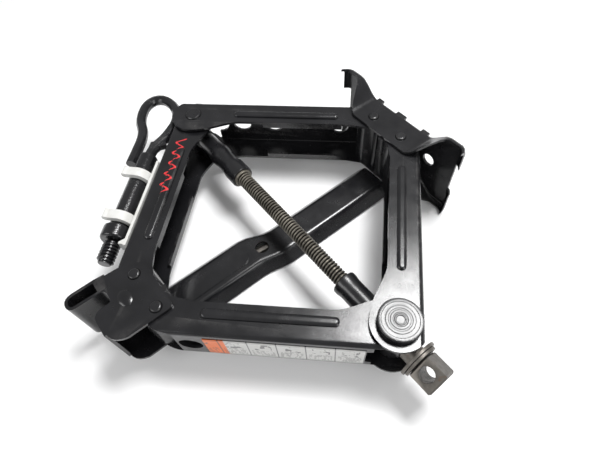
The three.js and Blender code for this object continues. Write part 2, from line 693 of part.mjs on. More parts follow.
const arms = [
  { name: 'base_arm_nut', spec: BASE_ARM, side: 1, end: -1, turn: ARM_ANGLE, holes: BASE_WEB_HOLES },
  {
    name: 'base_arm_drive', spec: BASE_ARM, side: -1, end: 1,
    turn: Math.PI - ARM_ANGLE, holes: BASE_WEB_HOLES,
  },
  { name: 'saddle_arm_nut', spec: SADDLE_ARM, side: -1, end: -1, turn: -ARM_ANGLE, holes: [] },
  {
    name: 'saddle_arm_drive', spec: SADDLE_ARM, side: 1, end: 1,
    turn: Math.PI + ARM_ANGLE, holes: SADDLE_WEB_HOLES,
  },
];
const armMeshes = {};
for (const { name, spec, side, end, turn, holes } of arms) {
  const body = armSolid({
    spec,
    side,
    toothAngles: toothAngles(side, end < 0 ? NUT_SIDE_TEETH : DRIVE_SIDE_TEETH),
    screwPinHole: end < 0 ? NUT_PIN.hole : DRIVE_PIN.hole,
    webHoles: holes,
  });
  const mesh = addPiece(linkage, name, body, gloss);
  mesh.position.set(end * SCREW_PIVOT_X, 0, 0);
  mesh.rotation.z = turn;
  armMeshes[name] = mesh;
}

// Nut end: trunnion, guard tube and lead nut.
const nutEnd = new THREE.Group();
nutEnd.position.x = -SCREW_PIVOT_X;
linkage.add(nutEnd);
addPiece(nutEnd, 'nut_trunnion', trunnionSolid(NUT_PIN, [1]), forged);
addPiece(nutEnd, 'nut_sleeve', nutSleeve(), satin);
addPiece(nutEnd, 'lead_nut', leadNut(), phosphated);

// Drive end: trunnion, guard tube and the two big pivot heads.
const driveEnd = new THREE.Group();
driveEnd.position.x = SCREW_PIVOT_X;
linkage.add(driveEnd);
addPiece(driveEnd, 'drive_trunnion', trunnionSolid(DRIVE_PIN, [-1, 1]), forged);
addPiece(driveEnd, 'drive_sleeve', driveSleeve(), satin);
addPiece(driveEnd, 'drive_pivot_head_near', pivotHead(1), gloss).position.z = PIVOT_HEAD.start;
addPiece(driveEnd, 'drive_pivot_head_far', pivotHead(-1), gloss).position.z = -PIVOT_HEAD.start;

// A thin washer between each pair of nested arm plates.
const washerMiddle = (SADDLE_ARM.halfWidth + BASE_ARM.halfWidth - SHEET) / 2;
for (const [sideName, group] of [['nut', nutEnd], ['drive', driveEnd]]) {
  for (const [faceName, face] of [['near', 1], ['far', -1]]) {
    const washer = turned(ring(WASHER.inner, WASHER.outer, -WASHER.thickness / 2, WASHER.thickness / 2));
    const mesh = addPiece(group, `${sideName}_pivot_washer_${faceName}`, washer, phosphated);
    mesh.position.z = face * washerMiddle;
  }
}

// Screw with its thrust spacer, washers and driving head.
let reach = SCREW_PIVOT_X + BOSS.reach + GAP;
const spacer = ring(SCREW_BORE_RADIUS, THRUST_SPACER.radius, 0, THRUST_SPACER.length);
addPiece(linkage, 'thrust_spacer', turnedAlongX(spacer), plated).position.x = reach;
reach += THRUST_SPACER.length + GAP;
for (const [i, { radius, thickness }] of THRUST_WASHERS.entries()) {
  const washer = turnedAlongX(ring(SCREW_BORE_RADIUS, radius, 0, thickness), 32);
  addPiece(linkage, `thrust_washer_${i + 1}`, washer, phosphated).position.x = reach;
  reach += thickness + GAP;
}
const screwProfile = [
  [0, SCREW_TIP_X],
  [SCREW_RADIUS - 1.5, SCREW_TIP_X],
  [SCREW_RADIUS, SCREW_TIP_X + 2],
  [SCREW_RADIUS, reach - GAP],
  [0, reach - GAP],
];
addPiece(linkage, 'lead_screw', turnedAlongX(screwProfile), greased);
const head = addPiece(linkage, 'drive_head', driveHead(), phosphated);
head.position.x = reach;
head.rotation.x = DRIVE_HEAD_TURN;

// Towing eye and its clips, in the frame of the nut-side saddle arm.
const stowage = new THREE.Group();
stowage.position.x = -SCREW_PIVOT_X;
stowage.rotation.z = -ARM_ANGLE;
linkage.add(stowage);
addPiece(stowage, 'towing_eye_hook', eyeRod(), forged).position.z = EYE_AXIS.z;
const shankProfile = [
  [0, SHANK.start], [SHANK.radius - 1, SHANK.start], [SHANK.radius, SHANK.start + 1],
  [SHANK.radius, SHANK.end], [0, SHANK.end],
];
const collarStart = SHANK.end + GAP;
const collarProfile = [
  [0, collarStart], [COLLAR.radius, collarStart], [COLLAR.radius, COLLAR.end - 1.5],
  [COLLAR.radius - 1.5, COLLAR.end], [0, COLLAR.end],
];
const threadStart = COLLAR.end + GAP;
const threadProfile = [
  [0, threadStart], [EYE_THREAD.radius, threadStart], [EYE_THREAD.radius, EYE_THREAD.end - 3],
  [EYE_THREAD.radius - 2, EYE_THREAD.end], [0, EYE_THREAD.end],
];
const turnedPieces = { shank: shankProfile, collar: collarProfile, thread: threadProfile };
for (const [name, profile] of Object.entries(turnedPieces)) {
  const piece = addPiece(stowage, `towing_eye_${name}`, turnedAlongX(profile), forged);
  piece.position.set(0, -EYE_AXIS.away, EYE_AXIS.z);
}
addPiece(stowage, 'towing_eye_holder', holderSolid(), nylon);

// Label on the back of the drive-side saddle arm.
const labelBack = SADDLE_ARM.back + LABEL.standOff;
const label = box(
  [LABEL.start, labelBack, -LABEL.halfWidth],
  [LABEL.end, labelBack + LABEL.thickness, LABEL.halfWidth],
);
const labelMesh = addPiece(linkage, 'instruction_label', label, paper);
labelMesh.position.copy(armMeshes.saddle_arm_drive.position);
labelMesh.rotation.copy(armMeshes.saddle_arm_drive.rotation);

// Wheel wrench, lying flat under the linkage.
addPiece(linkage, 'wrench_handle', wrenchHandle(), gloss);
addPiece(linkage, 'wrench_rod', wrenchRod(), phosphated);
const wrenchPin = chamferedPin(2.8, 12.5, 0.5).rotateY(Math.PI / 2);
addPiece(linkage, 'wrench_pin', wrenchPin, phosphated)
  .position.set(WRENCH_CENTRES.tail + 1, WRENCH_PIN_Y, WRENCH_ROD.z);

export default jack;
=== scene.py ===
import json
import math

import bmesh
import bpy
from mathutils import Matrix, Vector

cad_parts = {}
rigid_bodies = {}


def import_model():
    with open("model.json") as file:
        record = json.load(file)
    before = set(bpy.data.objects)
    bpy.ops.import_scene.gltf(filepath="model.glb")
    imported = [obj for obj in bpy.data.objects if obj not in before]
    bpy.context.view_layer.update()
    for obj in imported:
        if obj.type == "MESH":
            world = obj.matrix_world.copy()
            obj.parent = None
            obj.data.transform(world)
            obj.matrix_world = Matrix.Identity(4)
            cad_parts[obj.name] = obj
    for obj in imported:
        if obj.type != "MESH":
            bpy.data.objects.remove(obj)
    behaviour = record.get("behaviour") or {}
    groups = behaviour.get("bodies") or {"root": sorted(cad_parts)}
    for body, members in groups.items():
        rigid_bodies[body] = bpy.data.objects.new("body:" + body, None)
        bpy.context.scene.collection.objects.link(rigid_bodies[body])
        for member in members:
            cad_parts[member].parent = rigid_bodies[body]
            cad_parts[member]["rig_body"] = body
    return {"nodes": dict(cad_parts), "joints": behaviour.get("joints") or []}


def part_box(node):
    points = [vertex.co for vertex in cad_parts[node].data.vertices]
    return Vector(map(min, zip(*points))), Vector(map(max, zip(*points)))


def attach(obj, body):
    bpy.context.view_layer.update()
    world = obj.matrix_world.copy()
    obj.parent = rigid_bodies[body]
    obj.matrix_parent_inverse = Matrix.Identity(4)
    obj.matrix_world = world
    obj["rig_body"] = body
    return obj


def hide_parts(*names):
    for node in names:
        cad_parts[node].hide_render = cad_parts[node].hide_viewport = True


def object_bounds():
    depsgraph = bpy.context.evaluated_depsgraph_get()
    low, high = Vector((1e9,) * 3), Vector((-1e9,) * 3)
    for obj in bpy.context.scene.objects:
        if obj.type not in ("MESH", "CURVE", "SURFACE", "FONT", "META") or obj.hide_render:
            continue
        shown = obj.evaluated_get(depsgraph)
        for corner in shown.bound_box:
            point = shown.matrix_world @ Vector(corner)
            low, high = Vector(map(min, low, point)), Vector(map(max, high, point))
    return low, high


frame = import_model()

cad_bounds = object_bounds()


# ---- Foot -----------------------------------------------------------------------------------
# The foot is a wide channel pressed from 2.5 mm steel sheet, its ends flared and bent up so that it
# stands on soft ground. It is dipped in gloss black electrocoat, thin enough to show the press's marks.

FOOT_CORNER = 0.0005
ECOAT_BLACK = (0.006, 0.006, 0.007, 1)
ECOAT_GREY = (0.012, 0.012, 0.0135, 1)
BARE_SCRATCH = (0.16, 0.155, 0.15, 1)
RUST_BROWN = (0.10, 0.038, 0.016, 1)
ORANGE_PEEL_DEPTH = 0.00006
RELIEF_STRENGTH = 0.6
SAME_POINT = 0.00002
EDGE_ANGLE = 34


class Finish:
    """One painted, plated or moulded finish, built up as shader nodes on Object coordinates."""

    def __init__(self, name):
        self.material = bpy.data.materials.new(name)
        self.material.use_nodes = True
        self.tree = self.material.node_tree
        self.shader = self.tree.nodes["Principled BSDF"]
        self.place = self.tree.nodes.new("ShaderNodeTexCoord").outputs["Object"]

    def join(self, source, target):
        self.tree.links.new(source, target)

    def mapped(self, scale=(1, 1, 1), turn=(0, 0, 0), shift=(0, 0, 0)):
        node = self.tree.nodes.new("ShaderNodeMapping")
        self.join(self.place, node.inputs["Vector"])
        node.inputs["Scale"].default_value = scale
        node.inputs["Rotation"].default_value = turn
        node.inputs["Location"].default_value = shift
        return node.outputs["Vector"]

    def cloud(self, size, detail=3, rough=0.5, place=None):
        node = self.tree.nodes.new("ShaderNodeTexNoise")
        self.join(place or self.place, node.inputs["Vector"])
        node.inputs["Scale"].default_value = 1 / size
        node.inputs["Detail"].default_value = detail
        node.inputs["Roughness"].default_value = rough
        return node.outputs["Fac"]

    def spread(self, value, low, high, out_low=0.0, out_high=1.0):
        node = self.tree.nodes.new("ShaderNodeMapRange")
        self.join(value, node.inputs["Value"])
        limits = {"From Min": low, "From Max": high, "To Min": out_low, "To Max": out_high}
        for socket, number in limits.items():
            node.inputs[socket].default_value = number
        return node.outputs["Result"]

    def sum(self, operation, first, second, third=None):
        node = self.tree.nodes.new("ShaderNodeMath")
        node.operation = operation
        for socket, term in zip(node.inputs, (first, second, third)):
            if term is None:
                continue
            if isinstance(term, (int, float)):
                socket.default_value = term
            else:
                self.join(term, socket)
        return node.outputs["Value"]

    def blend(self, amount, under, over):
        node = self.tree.nodes.new("ShaderNodeMix")
        node.data_type = "RGBA"
        self.join(amount, node.inputs["Factor"])
        for socket, colour in ((node.inputs[6], under), (node.inputs[7], over)):
            if isinstance(colour, tuple):
                socket.default_value = colour
            else:
                self.join(colour, socket)
        return node.outputs[2]

    def relief(self, height, depth):
        node = self.tree.nodes.new("ShaderNodeBump")
        self.join(height, node.inputs["Height"])
        node.inputs["Strength"].default_value = RELIEF_STRENGTH
        node.inputs["Distance"].default_value = depth
        self.join(node.outputs["Normal"], self.shader.inputs["Normal"])

    def colour(self, source):
        self.join(source, self.shader.inputs["Base Color"])

    def roughness(self, source):
        self.join(source, self.shader.inputs["Roughness"])

    def edges(self, low, high):
        geometry = self.tree.nodes.new("ShaderNodeNewGeometry")
        return self.spread(geometry.outputs["Pointiness"], low, high)


def ecoat(name, low_roughness, high_roughness, rust=0.74):
    """Black electrocoat: cloudy gloss, orange peel, scratches, rubbed edges and a few rust freckles."""
    finish = Finish(name)
    cloudy = finish.spread(finish.cloud(0.030, 4), 0.35, 0.70)
    coat = finish.blend(cloudy, ECOAT_BLACK, ECOAT_GREY)
    streaks = finish.cloud(0.0016, 6, 0.65, finish.mapped((1, 0.05, 1), (0.4, 0.3, 0.8)))
    cross_streaks = finish.cloud(0.0014, 6, 0.65, finish.mapped((0.05, 1, 1), (0.2, 0.5, 0.3)))
    scratch = finish.spread(finish.sum("MAXIMUM", streaks, cross_streaks), 0.74, 0.82, 0.0, 0.35)
    patchy = finish.spread(finish.cloud(0.012, 3), 0.40, 0.70, 0.02, 0.22)
    rubbed = finish.sum("MULTIPLY", finish.edges(0.54, 0.66), patchy)
    coat = finish.blend(finish.sum("MAXIMUM", scratch, rubbed), coat, BARE_SCRATCH)
    freckles = finish.spread(finish.cloud(0.006, 6, 0.7), rust, rust + 0.06, 0.0, 0.85)
    finish.colour(finish.blend(freckles, coat, RUST_BROWN))
    finish.roughness(finish.spread(finish.cloud(0.012, 6, 0.6), 0.3, 0.7, low_roughness, high_roughness))
    peel = finish.sum("ADD", finish.cloud(0.0013, 2), finish.sum("MULTIPLY", finish.cloud(0.022, 2), 3.0))
    finish.relief(peel, ORANGE_PEEL_DEPTH)
    finish.shader.inputs["Coat Weight"].default_value = 0.15
    finish.shader.inputs["Coat Roughness"].default_value = 0.16
    return finish


def select_only(piece):
    bpy.ops.object.select_all(action="DESELECT")
    piece.select_set(True)
    bpy.context.view_layer.objects.active = piece


def apply_bevel(piece, width, steps=2, angle=EDGE_ANGLE):
    select_only(piece)
    bevel = piece.modifiers.new("edges", "BEVEL")
    bevel.width = width
    bevel.segments = steps
    bevel.limit_method = "ANGLE"
    bevel.angle_limit = math.radians(angle)
    bevel.use_clamp_overlap = True
    bpy.ops.object.modifier_apply(modifier="edges")


def shade(piece, angle):
    """Smooth over rounded edges, with each flat kept flat by weighting its normals by area."""
    select_only(piece)
    bpy.ops.object.shade_smooth_by_angle(angle=math.radians(angle))
    weighted = piece.modifiers.new("flats", "WEIGHTED_NORMAL")
    weighted.weight = 100
    weighted.keep_sharp = True
    bpy.ops.object.modifier_apply(modifier="flats")


def fit(piece, nodes, material):
    """The piece takes the given material and the body of the CAD nodes that it stands for, and those nodes
    are hidden.
    """
    piece.data.materials.clear()
    piece.data.materials.append(material)
    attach(piece, frame["nodes"][nodes[0]]["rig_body"])
    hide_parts(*nodes)


def dome_ribs(piece, steps):
    """Rolls the raised ribs, the highest and lowest flats of a pressed arm, into long low domes."""
    bpy.ops.mesh.select_all(action="DESELECT")
    bpy.ops.mesh.select_mode(type="FACE")
    shape = bmesh.from_edit_mesh(piece.data)
    top = max(vert.co.z for vert in shape.verts)
    for face in shape.faces:
        face.select = abs(face.normal.z) > 0.9 and abs(face.calc_center_median().z) > top - 0.0001
    bmesh.update_edit_mesh(piece.data)
    for width, rise in steps:
        bpy.ops.mesh.inset(thickness=width, depth=rise)


def dressed(node, corner, material, steps=2, smooth=42, flat=1.2, ribs=()):
    """A copy of the node's solid, facets joined, corners rounded as pressing or turning leaves them."""
    piece = bpy.data.objects.new(node + "_dressed", frame["nodes"][node].data.copy())
    bpy.context.scene.collection.objects.link(piece)
    select_only(piece)
    bpy.ops.object.mode_set(mode="EDIT")
    bpy.ops.mesh.select_all(action="SELECT")
    bpy.ops.mesh.remove_doubles(threshold=SAME_POINT)
    bpy.ops.mesh.dissolve_limited(angle_limit=math.radians(flat))
    if ribs:
        dome_ribs(piece, ribs)
    bpy.ops.object.mode_set(mode="OBJECT")
    if corner:
        apply_bevel(piece, corner, steps)
    shade(piece, smooth)
    fit(piece, [node], material)
    return piece


gloss_black = ecoat("gloss_black_ecoat", 0.19, 0.29).material
dressed("base_foot", FOOT_CORNER, gloss_black)


# ---- Arms -----------------------------------------------------------------------------------
# Four U-channel arms pressed from sheet, each with a long rib along both plates and gear teeth at
# its foot or saddle end, so that the two arms of a pair fold together.

ARM_CORNER = 0.0005
RIB_DOME = ((0.0008, 0.0007), (0.0009, 0.0004), (0.0009, 0.0001))
for arm_name in ("base_arm_nut", "base_arm_drive", "saddle_arm_drive"):
    dressed(arm_name, ARM_CORNER, gloss_black, ribs=RIB_DOME)


# ---- Arm with the paint marker line ----------------------------------------------------------
# The nut-side saddle arm carries a line of red paint marker along its near plate, drawn by hand over
# the coat and worn thin in places. It is a plain wavy line.

MARKER_RED = (0.62, 0.035, 0.04, 1)
MARKER_START = 0.030
MARKER_END = 0.098
MARKER_WAVE = 0.0130
MARKER_HALF_WIDTH = 0.0012
MARKER_SWING = 0.0042
MARKER_OFF_CENTRE = -0.0040
MARKER_SHAKE = 0.0022
TOP_PLATE_DEPTH = 0.0017

elbow_hinge = next(joint for joint in frame["joints"] if joint["name"] == "nut_elbow")
saddle_hinge = next(joint for joint in frame["joints"] if joint["name"] == "saddle_pivot")
nut_pivot = Vector(elbow_hinge["pos_m"])
saddle_pivot = Vector(saddle_hinge["pos_m"])
along_nut_arm = (saddle_pivot - nut_pivot).normalized()
nut_arm_turn = math.atan2(along_nut_arm.y, along_nut_arm.x)


def arm_place(finish, pivot, turn):
    """Shader coordinates along an arm from its screw pivot, across it, and up through it."""
    back = Matrix.Rotation(-turn, 3, "Z")
    shift = -(back @ pivot)
    split = finish.tree.nodes.new("ShaderNodeSeparateXYZ")
    finish.join(finish.mapped(turn=(0, 0, -turn), shift=tuple(shift)), split.inputs["Vector"])
    return split.outputs


marked = ecoat("gloss_black_with_marker", 0.19, 0.29)
along, across, up = arm_place(marked, nut_pivot, nut_arm_turn)
wave = marked.sum("SINE", marked.sum("MULTIPLY", along, 2 * math.pi / MARKER_WAVE), 0.0)
line = marked.sum("MULTIPLY_ADD", wave, MARKER_SWING, MARKER_OFF_CENTRE)
shaky = marked.sum("MULTIPLY_ADD", marked.cloud(0.006, 2), MARKER_SHAKE, -MARKER_SHAKE / 2)
offset = marked.sum("SUBTRACT", marked.sum("ADD", across, shaky), line)
on_line = marked.sum("COMPARE", offset, 0.0, MARKER_HALF_WIDTH)
middle = (MARKER_START + MARKER_END) / 2
in_length = marked.sum("COMPARE", along, middle, (MARKER_END - MARKER_START) / 2)
on_top = marked.sum("GREATER_THAN", up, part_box("saddle_arm_nut")[1].z - TOP_PLATE_DEPTH)
worn = marked.spread(marked.cloud(0.0022, 4, 0.7), 0.38, 0.46)
stroke = marked.sum("MULTIPLY", on_line, in_length)
ink = marked.sum("MULTIPLY", stroke, marked.sum("MULTIPLY", on_top, worn))
bare_coat = marked.shader.inputs["Base Color"].links[0].from_socket
marked.colour(marked.blend(ink, bare_coat, MARKER_RED))
dressed("saddle_arm_nut", ARM_CORNER, marked.material, ribs=RIB_DOME)


# ---- Saddle ---------------------------------------------------------------------------------
# The saddle is a bent band between two cheeks. Its horn and shoulder stand either side of the slot
# that takes the car's sill flange. A pressed dimple in each cheek has been rubbed bright.

SADDLE_CORNER = 0.0006
dressed("saddle_bracket", SADDLE_CORNER, gloss_black)


# ---- Rivet pins -----------------------------------------------------------------------------
# Each arm turns on a plain steel pin whose ends are spun over the plates into low domes, then coated
# with the rest of the jack.

PIN_DOME = 0.0013
satin_black = ecoat("satin_black_coat", 0.24, 0.34, rust=0.70).material
for pin_name in ("base_pin_nut", "base_pin_drive", "saddle_pin_nut", "saddle_pin_drive"):
    dressed(pin_name, PIN_DOME, satin_black, steps=4)


# ---- Nut end --------------------------------------------------------------------------------
# A cross trunnion pivots in the arms' elbows and holds a swaged tube with the lead nut inside. The
# screw runs through it.

TRUNNION_CORNER = 0.0005
SLEEVE_CORNER = 0.0008
WASHER_CORNER = 0.0002
for turned_name in ("nut_trunnion", "drive_trunnion"):
    dressed(turned_name, TRUNNION_CORNER, satin_black, smooth=50)
for sleeve_name in ("nut_sleeve", "drive_sleeve"):
    dressed(sleeve_name, SLEEVE_CORNER, satin_black, steps=3, smooth=60, flat=0.2)
for end in ("nut", "drive"):
    for side in ("near", "far"):
        dressed(f"{end}_pivot_washer_{side}", WASHER_CORNER, satin_black)


# ---- Drive pivot heads ----------------------------------------------------------------------
# The drive-side elbow's pivot has a broad turned head on each side. A groove and a low boss were cut
# in its face on the lathe, and the orbital riveter left a shallow dish in the middle.

HEAD_STEP = 0.00028
HEAD_DISH = -0.0006
HEAD_RIM_WIDTH = 0.0006
HEAD_RIM_HEIGHT = 0.0004
RING_SLOPE = 0.0002
HEAD_RINGS = (
    (0.0021, -HEAD_STEP), (0.0015, 0.0), (0.0013, HEAD_STEP), (0.0018, -HEAD_STEP), (0.0012, HEAD_STEP),
    (0.0016, -HEAD_STEP), (0.0010, HEAD_STEP), (0.0009, HEAD_DISH),
)


def turned_head(node, facing):
    """A short cylinder with a chamfered rim and rings cut in its outer face. facing is +1 up, -1 down."""
    low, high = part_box(node)
    radius = (high.x - low.x) / 2
    depth = high.z - low.z
    centre = (low + high) / 2
    bpy.ops.object.select_all(action="DESELECT")
    blank = depth - HEAD_RIM_HEIGHT
    bpy.ops.mesh.primitive_cylinder_add(vertices=96, radius=radius, depth=blank, location=centre)
    piece = bpy.context.object
    piece.name = node + "_turned"
    bpy.ops.object.transform_apply(location=True, rotation=True, scale=True)
    bpy.ops.object.mode_set(mode="EDIT")
    bpy.ops.mesh.select_mode(type="FACE")
    shape = bmesh.from_edit_mesh(piece.data)
    for face in shape.faces:
        face.select = face.normal.z * facing > 0.9
    bmesh.update_edit_mesh(piece.data)
    bpy.ops.mesh.inset(thickness=HEAD_RIM_WIDTH, depth=HEAD_RIM_HEIGHT)
    for width, rise in HEAD_RINGS:
        bpy.ops.mesh.inset(thickness=width, depth=0)
        if rise:
            bpy.ops.mesh.inset(thickness=RING_SLOPE, depth=rise)
    bpy.ops.object.mode_set(mode="OBJECT")
    apply_bevel(piece, 0.0004, 2, 50)
    shade(piece, 40)
    fit(piece, [node], satin_black)
    return piece


turned_head("drive_pivot_head_near", 1)
turned_head("drive_pivot_head_far", -1)


# ---- Lead screw -----------------------------------------------------------------------------
# The screw is a steel rod with a rolled 3 mm trapezoid thread, kept in brown grease. Its plain neck
# runs through the drive trunnion and the thrust washers to the head.

THREAD_PITCH = 0.003
THREAD_DEPTH = 0.0014
THREAD_END_X = 0.0870
FLANK_SHARE = 0.30
CREST_SHARE = 0.22
ROOT_SHARE = 0.18
THREAD_LEAD_IN = 0.001
TIP_LENGTH = 0.006
TIP_CHAMFER = 0.0008
NECK_STEP = 0.0003
NUT_CORNER = 0.0003
GREASE_BROWN = (0.010, 0.009, 0.007, 1)
GREASED_STEEL = (0.105, 0.096, 0.080, 1)
STEEL_OLIVE = (0.300, 0.275, 0.230, 1)


def rolled_thread(name, radius, depth, pitch, turns, steps=28):
    """A right-hand thread along +X from the origin: one pitch of its profile, screwed along its axis."""
    bpy.ops.object.select_all(action="DESELECT")
    bpy.ops.mesh.primitive_plane_add(size=pitch)
    piece = bpy.context.object
    piece.name = name
    bpy.ops.object.mode_set(mode="EDIT")
    bpy.ops.mesh.select_mode(type="VERT")
    bpy.ops.mesh.select_all(action="SELECT")
    bpy.ops.mesh.merge(type="CENTER")
    bpy.ops.transform.translate(value=(0, 0, radius - depth))
    for share, rise in ((FLANK_SHARE, depth), (CREST_SHARE, 0.0), (FLANK_SHARE, -depth), (ROOT_SHARE, 0.0)):
        bpy.ops.mesh.extrude_region_move(TRANSFORM_OT_translate={"value": (share * pitch, 0, rise)})
    bpy.ops.object.mode_set(mode="OBJECT")
    screw = piece.modifiers.new("thread", "SCREW")
    screw.axis = "X"
    screw.screw_offset = pitch
    screw.iterations = turns
    screw.steps = steps
    screw.render_steps = steps
    screw.use_merge_vertices = True
    screw.merge_threshold = 0.00001
    bpy.ops.object.modifier_apply(modifier="thread")
    bpy.ops.object.mode_set(mode="EDIT")
    bpy.ops.mesh.select_all(action="SELECT")
    bpy.ops.mesh.remove_doubles(threshold=SAME_POINT)
    bpy.ops.mesh.select_all(action="DESELECT")
    bpy.ops.mesh.select_mode(type="EDGE")
    bpy.ops.mesh.select_non_manifold()
    bpy.ops.mesh.edge_face_add()
    bpy.ops.mesh.select_all(action="SELECT")
    bpy.ops.mesh.normals_make_consistent(inside=False)
    bpy.ops.object.mode_set(mode="OBJECT")
    return piece


def along_x(name, radius, start, end, chamfer, centre):
    """A turned rod along X with chamfered ends."""
    bpy.ops.object.select_all(action="DESELECT")
    bpy.ops.mesh.primitive_cylinder_add(
        vertices=48, radius=radius, depth=end - start,
        location=((start + end) / 2, centre.y, centre.z), rotation=(0, math.pi / 2, 0),
    )
    piece = bpy.context.object
    piece.name = name
    bpy.ops.object.transform_apply(location=True, rotation=True, scale=True)
    apply_bevel(piece, chamfer, 2, 50)
    return piece


def welded(pieces, name):
    """Joins separate turned lengths into one object."""
    bpy.ops.object.select_all(action="DESELECT")
    for piece in pieces:
        piece.select_set(True)
    bpy.context.view_layer.objects.active = pieces[0]
    bpy.ops.object.join()
    pieces[0].name = name
    return pieces[0]


screw_low, screw_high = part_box("lead_screw")
screw_axis = (screw_low + screw_high) / 2
screw_radius = (screw_high.z - screw_low.z) / 2

greased = Finish("greased_thread")
smear = greased.spread(greased.cloud(0.010, 6, 0.7), 0.38, 0.62)
off_axis = greased.tree.nodes.new("ShaderNodeSeparateXYZ")
greased.join(greased.mapped(shift=(0, -screw_axis.y, -screw_axis.z)), off_axis.inputs["Vector"])
squares = [greased.sum("MULTIPLY", off_axis.outputs[side], off_axis.outputs[side]) for side in ("Y", "Z")]
from_axis = greased.sum("SQRT", greased.sum("ADD", *squares), 0.0)
crest = greased.spread(from_axis, screw_radius - THREAD_DEPTH * 0.75, screw_radius - 0.0001)
steel = greased.blend(smear, GREASED_STEEL, STEEL_OLIVE)
greased.colour(greased.blend(crest, GREASE_BROWN, steel))
greased.roughness(greased.spread(smear, 0, 1, 0.30, 0.46))
greased.relief(greased.cloud(0.0012, 3), 0.00004)
greased.shader.inputs["Metallic"].default_value = 0.6

turn_count = round((THREAD_END_X - screw_low.x - THREAD_LEAD_IN) / THREAD_PITCH)
thread = rolled_thread("lead_screw_thread", screw_radius, THREAD_DEPTH, THREAD_PITCH, turn_count)
thread.location = (screw_low.x + THREAD_LEAD_IN, screw_axis.y, screw_axis.z)
select_only(thread)
bpy.ops.object.transform_apply(location=True, rotation=True, scale=True)
root_radius = screw_radius - THREAD_DEPTH
tip_end = screw_low.x + TIP_LENGTH
tip = along_x("screw_tip", root_radius, screw_low.x, tip_end, TIP_CHAMFER, screw_axis)
neck_start = THREAD_END_X - THREAD_PITCH
neck = along_x("screw_neck", screw_radius - NECK_STEP, neck_start, screw_high.x, NECK_STEP, screw_axis)
screw = welded([thread, tip, neck], "lead_screw_rolled")
shade(screw, 32)
fit(screw, ["lead_screw"], greased.material)
dressed("lead_nut", NUT_CORNER, greased.material)


# ---- Drive head and thrust washers ----------------------------------------------------------
# A square head with a cross eye for the wrench's hook, forged on the screw's end. Two washers and a
# spacer carry its thrust. All are phosphated and worn bright where the wrench has rubbed.

PHOSPHATE_GREY = (0.050, 0.046, 0.042, 1)
WORN_STEEL = (0.20, 0.185, 0.165, 1)
RUST_FILM = (0.13, 0.075, 0.045, 1)
HEAD_CORNER = 0.0007
THRUST_CORNER = 0.0003

phosphate = Finish("phosphated_steel")
speckle = phosphate.spread(phosphate.cloud(0.0030, 8, 0.7), 0.42, 0.66)
rubbed_edges = phosphate.edges(0.51, 0.58)
wear = phosphate.sum("MAXIMUM", phosphate.sum("MULTIPLY", speckle, 0.55), rubbed_edges)
rusty = phosphate.spread(phosphate.cloud(0.0045, 5, 0.7), 0.60, 0.70, 0.0, 0.7)
worn_phosphate = phosphate.blend(wear, PHOSPHATE_GREY, WORN_STEEL)
phosphate.colour(phosphate.blend(rusty, worn_phosphate, RUST_FILM))
phosphate.roughness(phosphate.spread(speckle, 0, 1, 0.52, 0.36))
phosphate.relief(phosphate.cloud(0.0009, 4), 0.00010)
phosphate.shader.inputs["Metallic"].default_value = 0.75
dressed("drive_head", HEAD_CORNER, phosphate.material, steps=3, smooth=38)
for thrust_name in ("thrust_spacer", "thrust_washer_1", "thrust_washer_2"):
    dressed(thrust_name, THRUST_CORNER, phosphate.material)


# ---- Towing eye -----------------------------------------------------------------------------
# The towing eye is one forging: a round bar bent to an eye beside a thick shank with a collar, and a
# coarse thread that screws into the car. Its black coat follows the forging's soft unevenness.

EYE_THREAD_DEPTH = 0.0016
EYE_THREAD_PITCH = 0.0030
EYE_PLAIN_POINT = 0.003
EYE_POINT_CHAMFER = 0.0015
EYE_THREAD_LEAD_IN = 0.0008
EYE_CORNER = 0.0009
HOOK_CORNER = 0.0006

forged = ecoat("forged_black", 0.15, 0.26, rust=0.76)
lumps = forged.sum("ADD", forged.cloud(0.0040, 3), forged.sum("MULTIPLY", forged.cloud(0.0010, 2), 0.4))
forged.relief(lumps, 0.00035)
for forged_name in ("towing_eye_shank", "towing_eye_collar"):
    dressed(forged_name, EYE_CORNER, forged.material, steps=3, smooth=60, flat=0.2)
dressed("towing_eye_hook", HOOK_CORNER, forged.material, smooth=65, flat=0.2)

thread_low, thread_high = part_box("towing_eye_thread")
thread_centre = (thread_low + thread_high) / 2
eye_radius = (thread_high.z - thread_low.z) / 2
eye_mesh = frame["nodes"]["towing_eye_thread"].data
eye_points = [along_nut_arm.dot(vert.co - nut_pivot) for vert in eye_mesh.vertices]
eye_start = min(eye_points)
eye_length = max(eye_points) - eye_start
eye_turns = int((eye_length - EYE_PLAIN_POINT) / EYE_THREAD_PITCH)
eye_thread = rolled_thread("eye_thread", eye_radius, EYE_THREAD_DEPTH, EYE_THREAD_PITCH, eye_turns, 32)
eye_root = eye_radius - EYE_THREAD_DEPTH
eye_point = along_x("eye_point", eye_root, 0.0, eye_length, EYE_POINT_CHAMFER, Vector((0, 0, 0)))
eye_thread.location = (EYE_THREAD_LEAD_IN, 0, 0)
select_only(eye_thread)
bpy.ops.object.transform_apply(location=True, rotation=True, scale=True)
eye_screw = welded([eye_thread, eye_point], "towing_eye_thread_rolled")
centre_along = along_nut_arm.dot(thread_centre - nut_pivot)
eye_screw.location = thread_centre - along_nut_arm * (centre_along - eye_start)
eye_screw.rotation_euler = (0, 0, nut_arm_turn)
bpy.ops.object.transform_apply(location=True, rotation=True, scale=True)
shade(eye_screw, 35)
fit(eye_screw, ["towing_eye_thread"], forged.material)


# ---- Towing eye's holder --------------------------------------------------------------------
# One white nylon moulding snaps onto the arm's back and grips the shank in two open jaws.

NYLON_WHITE = (0.62, 0.62, 0.60, 1)
NYLON_SHADE = (0.52, 0.51, 0.48, 1)
NYLON_GLOW = 0.003
HOLDER_CORNER = 0.0007

